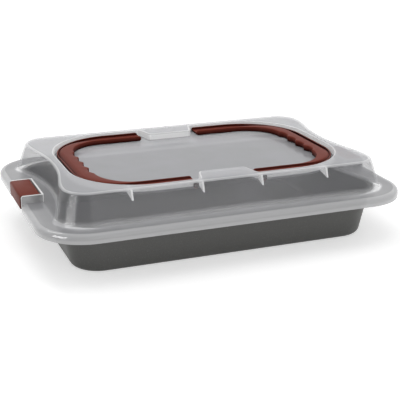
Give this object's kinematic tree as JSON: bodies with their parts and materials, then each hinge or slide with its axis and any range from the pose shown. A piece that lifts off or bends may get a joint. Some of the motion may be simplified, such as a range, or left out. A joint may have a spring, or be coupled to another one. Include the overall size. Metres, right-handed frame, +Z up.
{
  "type": "cake pan with lid",
  "caption": "Rectangular baking pan with a domed translucent carrying lid, two fold-flat handles in a recess and a snap latch at each end.",
  "frame": {"origin": "on the table under the middle of the pan", "axes": "+X along the pan's length, towards the right latch, +Y across it, +Z up"},
  "size_m": [0.421, 0.294, 0.0883],
  "materials": {
    "coated_steel": "semi-matt non-stick coating",
    "milky_plastic": "smooth translucent moulding",
    "brown_plastic": "satin moulding"
  },
  "bodies": {
    "pan": {"pan": "coated_steel"},
    "lid": {"lid": "milky_plastic"},
    "left_handle": {"left_handle": "brown_plastic"},
    "right_handle": {"right_handle": "brown_plastic"},
    "left_clip": {"left_clip": "brown_plastic"},
    "right_clip": {"right_clip": "brown_plastic"}
  },
  "joints": [
    {"name": "lid_lift", "type": "slide", "parent": "pan", "child": "lid", "axis": [0, 0, 1], "range_m": [0, 0.06]},
    {"name": "left_handle_swing", "type": "hinge", "parent": "lid", "child": "left_handle", "pos_m": [-0.0395, 0, 0.0827], "axis": [0, 1, 0], "range_deg": [0, 107]},
    {"name": "right_handle_swing", "type": "hinge", "parent": "lid", "child": "right_handle", "pos_m": [0.0395, 0, 0.0827], "axis": [0, -1, 0], "range_deg": [0, 107]},
    {"name": "left_clip_swing", "type": "hinge", "parent": "lid", "child": "left_clip", "pos_m": [-0.1902, 0, 0.0616], "axis": [0, 1, 0], "range_deg": [0, 90]},
    {"name": "right_clip_swing", "type": "hinge", "parent": "lid", "child": "right_clip", "pos_m": [0.1902, 0, 0.0616], "axis": [0, -1, 0], "range_deg": [0, 90]}
  ]
}
